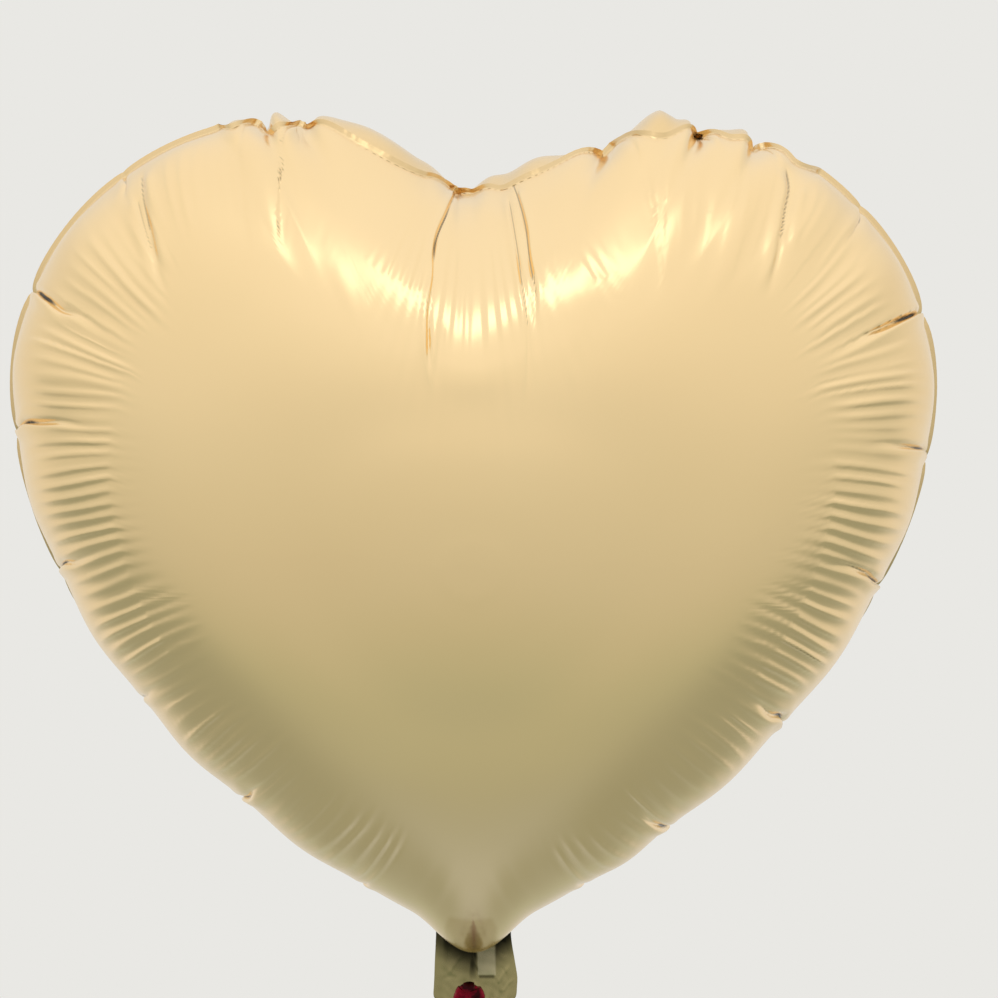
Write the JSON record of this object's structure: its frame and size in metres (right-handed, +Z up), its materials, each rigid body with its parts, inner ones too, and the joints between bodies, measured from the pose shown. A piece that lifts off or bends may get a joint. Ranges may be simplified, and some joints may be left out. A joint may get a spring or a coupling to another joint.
{
  "type": "heart-shaped foil balloon",
  "caption": "Inflated heart-shaped foil balloon with a satin front, a gathered tail with its filling valve, and a tied ribbon put away in a hank.",
  "frame": {"origin": "the ribbon's tie, in the middle of the gathered tail, where the balloon is held", "axes": "+Z up towards the heart's lobes, +Y towards the back, the satin front faces -Y"},
  "size_m": [0.38, 0.2194, 0.5513],
  "materials": {
    "satin_film": "satin pearl caramel metallised film",
    "gloss_film": "glossy gold metallised film",
    "valve_film": "clear film",
    "ribbon": "glossy crimson curling ribbon"
  },
  "bodies": {
    "envelope": {"front_panel": "satin_film", "back_panel": "gloss_film", "valve_inner_front": "valve_film", "valve_inner_back": "valve_film"},
    "tail": {"tail_front": "gloss_film", "tail_back": "gloss_film", "valve_tail_front": "valve_film", "valve_tail_back": "valve_film", "ribbon_wrap": "ribbon", "ribbon_knot": "ribbon", "ribbon_end": "ribbon"},
    "ribbon": {"ribbon_leader": "ribbon", "ribbon_hank": "ribbon", "hank_tie": "ribbon"}
  },
  "joints": [
    {"name": "tail_fold", "type": "hinge", "parent": "envelope", "child": "tail", "pos_m": [0, 0, 0.026], "axis": [1, 0, 0], "range_deg": [-60, 60]},
    {"name": "ribbon_swing", "type": "hinge", "parent": "tail", "child": "ribbon", "pos_m": [0, -0.0082, -0.0058], "axis": [0, 1, 0], "range_deg": [-70, 70]}
  ]
}
